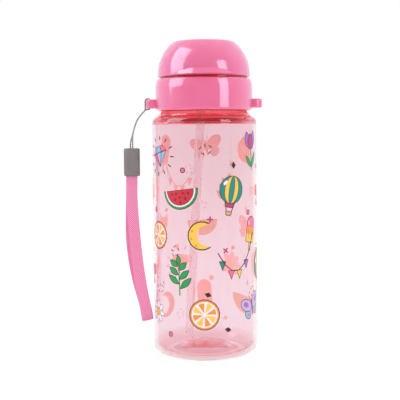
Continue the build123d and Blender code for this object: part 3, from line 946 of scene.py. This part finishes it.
# %% Routes
def route_line(name, points):
    """Points along the smooth spline that has the given points as its control points."""
    curve = bpy.data.curves.new(name, "CURVE")
    curve.dimensions = "3D"
    spline = curve.splines.new("NURBS")
    spline.points.add(len(points) - 1)
    for knot, point in zip(spline.points, points):
        knot.co = (*mm(*point), 1)
    spline.order_u = 3
    spline.use_endpoint_u = True
    spline.resolution_u = 24
    holder = bpy.data.objects.new(name, curve)
    mesh = bpy.data.meshes.new_from_object(holder)
    line = [vertex.co.copy() for vertex in mesh.vertices]
    bpy.data.meshes.remove(mesh)
    bpy.data.objects.remove(holder)
    return line


def line_length(line):
    """The length of a line of points, in metres."""
    return sum((b - a).length for a, b in zip(line, line[1:]))


def along(line, count, across=None):
    """Evenly spaced (place, forward, side, up) frames on a line. The side is kept as close
    as it can be to the given direction or, without one, to the side of the frame before."""
    step = line_length(line) / (count - 1)
    places, due, passed = [line[0]], step, 0.0
    for a, b in zip(line, line[1:]):
        run = (b - a).length
        while due <= passed + run + 1e-9 and len(places) < count:
            places.append(a.lerp(b, min(1.0, (due - passed) / run)))
            due += step
        passed += run
    while len(places) < count:
        places.append(line[-1])
    frames = []
    side = across or Vector((0, 1, 0))
    for index, here in enumerate(places):
        before, after = places[max(index - 1, 0)], places[min(index + 1, count - 1)]
        forward = (after - before).normalized()
        wanted = across or side
        side = (wanted - forward * wanted.dot(forward)).normalized()
        frames.append((here, forward, side, forward.cross(side)))
    return frames


def straight_rod(sides, rings):
    """A closed rod of radius 1 along Z from 0 to 1, with evenly spaced rings."""
    rod = bmesh.new()
    middle = Matrix.Translation((0, 0, 0.5))
    bmesh.ops.create_cone(rod, cap_ends=True, segments=sides, radius1=1, radius2=1, depth=1, matrix=middle)
    uprights = [e for e in rod.edges if abs(e.verts[0].co.z - e.verts[1].co.z) > 0.5]
    bmesh.ops.subdivide_edges(rod, edges=uprights, cuts=rings - 2, use_grid_fill=True)
    return rod


def lay_along(rod, line, rings, section, across=None):
    """Bend a straight rod along a line. section(turn, share) gives the outline, in
    millimetres across and up, at an angle round the rod and a share of its length."""
    frames = along(line, rings, across)
    layer = rod.loops.layers.uv.new("UVMap")
    length = line_length(line) / MM
    for face in rod.faces:
        turns = [atan2(loop.vert.co.y, loop.vert.co.x) / (2 * pi) for loop in face.loops]
        wrap = 1 if max(turns) - min(turns) > 0.5 else 0
        for loop, turn in zip(face.loops, turns):
            loop[layer].uv = (turn + wrap if turn < 0 else turn, loop.vert.co.z * length)
    for vertex in rod.verts:
        share = vertex.co.z
        here, _, side, up = frames[round(share * (rings - 1))]
        width, height = section(atan2(vertex.co.y, vertex.co.x), share)
        vertex.co = here + side * width * MM + up * height * MM


# %% Route points
ferrule_low, ferrule_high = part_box("lanyard_ferrule")
ferrule_top_z, ferrule_foot_z = ferrule_high.z / MM, ferrule_low.z / MM

hitch_route = [
    (-37.88, 0.6, 154.84),
    (-36.9, 0.55, 155.75),
    (-34.3, 0.3, 155.75),
    (-33.7, 0, 159.1),
    (-34.3, -0.3, 162.45),
    (-37.35, -0.45, 162.45),
    (-37.35, -0.5, 159.1),
    (-37.35, -0.6, 155.5),
    (-37.88, -0.6, 154.84),
]
strand_routes = [
    [
        (-38.52, side * 0.6, 154.16),
        (-39.7, side * 0.6, 152.9),
        (-42.7, side * 0.6, 149.2),
        (-44.5, side * 0.6, 144.2),
        (-45.7 - side * 0.1, side * 0.6, 139.6),
        (-46.3 - side * 0.6, side * 0.6, 135.8),
        (-46.4 - side * 0.75, side * 0.3, 133.4),
        (-46.4 - side * 0.75, side * 0.3, ferrule_top_z),
    ]
    for side in (1, -1)
]
webbing_route = [
    (-46.5, -0.65, ferrule_foot_z),
    (-46.5, -0.65, 109.4),
    (-46.6, -1.4, 102.5),
    (-46.0, -3.2, 91.0),
    (-44.7, -5.6, 75.0),
    (-42.8, -7.9, 57.5),
    (-40.4, -9.2, 42.0),
    (-38.1, -9.4, 30.5),
    (-36.9, -9.0, 22.0),
    (-36.9, -3.1, 22.0),
    (-38.7, -1.9, 30.5),
    (-42.3, -0.4, 42.0),
    (-45.8, 1.0, 57.5),
    (-47.6, 1.9, 75.0),
    (-47.2, 2.2, 91.0),
    (-46.8, 1.4, 102.5),
    (-46.5, 0.65, 109.4),
    (-46.5, 0.65, ferrule_foot_z),
]

# %% [markdown]
# ## Twisted cord
# Three yarns laid into a cord one millimetre thick. The yarns are in the shape itself: the
# outline has three lobes that turn as they go along. Fine fibres in two greys run along it.

# %% Cord material
cord_grey, shader = new_material("cord_grey_yarn", {"Roughness": 0.75, "Sheen Weight": 0.3})
tree = cord_grey.node_tree
where = tree.nodes.new("ShaderNodeUVMap")
where.uv_map = "UVMap"
stretch = tree.nodes.new("ShaderNodeMapping")
stretch.inputs["Scale"].default_value = (30, 3, 1)
feed(tree, where.outputs["UV"], stretch.inputs["Vector"])
fibres = noise_node(tree, stretch.outputs["Vector"], 1.0)
tones = mix_node(tree, fibres, shade(128, 122, 120), shade(176, 171, 168))
feed(tree, tones, shader.inputs["Base Color"])
nap = tree.nodes.new("ShaderNodeBump")
nap.inputs["Strength"].default_value = 0.4
nap.inputs["Distance"].default_value = 0.0001
feed(tree, fibres, nap.inputs["Height"])
feed(tree, nap.outputs["Normal"], shader.inputs["Normal"])

# %% Cord
cord_diameter = 1.0
lay_pitch = 2.4
cord_sides, rings_per_turn = 12, 10
cord_route = [*reversed(strand_routes[0]), *hitch_route, *strand_routes[1]]
cord_line = route_line("cord_route", cord_route)
cord_length = line_length(cord_line)
cord_turns = round(cord_length / MM / lay_pitch)
cord_rings = cord_turns * rings_per_turn + 1


def three_yarns(turn, share):
    """A round outline with three shallow lobes that turn along the cord."""
    lobe = cos(3 * (turn - 2 * pi * share * cord_turns / 3))
    radius = cord_diameter / 2 * (0.93 + 0.07 * lobe)
    return radius * cos(turn), radius * sin(turn)


rod = straight_rod(cord_sides, cord_rings)
lay_along(rod, cord_line, cord_rings, three_yarns)
cord = piece("lanyard_twisted_cord", rod, cord_grey, None, 60)
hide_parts("lanyard_hitch", "lanyard_cord")
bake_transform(cord)
print("cord length, mm:", round(cord_length / MM, 1))

# %% [markdown]
# ## Webbing
# The strap is a narrow woven tape in plain weave: ten warp threads across, and weft threads
# 0.72 mm apart. Both the mesh and the colour follow the weave: the mesh is raised where a
# thread comes to the top, and the colour is light there and dark between threads, which is
# painted shade. The colour finds its place on the tape from its UV map.

# %% Webbing material
webbing_pink, shader = new_material(
    "webbing_pink_weave",
    {"Roughness": 0.72, "Sheen Weight": 0.35, "Sheen Roughness": 0.4, "Sheen Tint": (1.0, 0.75, 0.85, 1)},
)
webbing_width, webbing_thickness = 7.2, 1.2
rib_pitch, warp_count = 0.72, 10
tree = webbing_pink.node_tree
where = tree.nodes.new("ShaderNodeUVMap")
where.uv_map = "UVMap"
turn, distance = (axis_node(tree, where.outputs["UV"], axis) for axis in "XY")
slant = math_node(tree, "TANGENT", math_node(tree, "MULTIPLY", turn, 2 * pi))
across_tape = math_node(tree, "DIVIDE", 1.0, slant)
warp_wave = math_node(tree, "SINE", math_node(tree, "MULTIPLY", across_tape, warp_count * pi / 2))
weft_wave = math_node(tree, "SINE", math_node(tree, "MULTIPLY", distance, pi / rib_pitch))
# Painted shade: the colour is darker where a thread dips under its neighbours.
weave = range_node(tree, math_node(tree, "MULTIPLY", warp_wave, weft_wave), -0.7, 0.7)
tones = mix_node(tree, weave, (0.60, 0.100, 0.260, 1), (1.0, 0.360, 0.590, 1))
feed(tree, tones, shader.inputs["Base Color"])

# %% Webbing
webbing_sides, rings_per_rib = 52, 4
webbing_lean = Vector((1, 0, 0.22))
webbing_line = route_line("webbing_route", webbing_route)
webbing_length = line_length(webbing_line)
rib_count = round(webbing_length / MM / rib_pitch)
webbing_rings = rib_count * rings_per_rib + 1


def woven_band(turn, share):
    """A flat outline with rounded edges. Its threads pass over and under one another, so
    each one is raised where its neighbours are low."""
    across, up = cos(turn), sin(turn)
    flat = (abs(across) ** 4 + abs(up) ** 4) ** -0.25
    rib = sin(pi * rib_count * share)
    warp = sin(warp_count * pi / 2 * across * flat)
    width = webbing_width / 2 * (0.975 + 0.025 * abs(rib))
    height = webbing_thickness / 2 * (0.85 + 0.15 * rib * warp)
    return across * flat * width, up * flat * height


rod = straight_rod(webbing_sides, webbing_rings)
lay_along(rod, webbing_line, webbing_rings, woven_band, across=webbing_lean)
webbing = piece("lanyard_woven_webbing", rod, webbing_pink, "lanyard", 80)
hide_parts("lanyard_webbing")
print("webbing length, mm:", round(webbing_length / MM, 1))
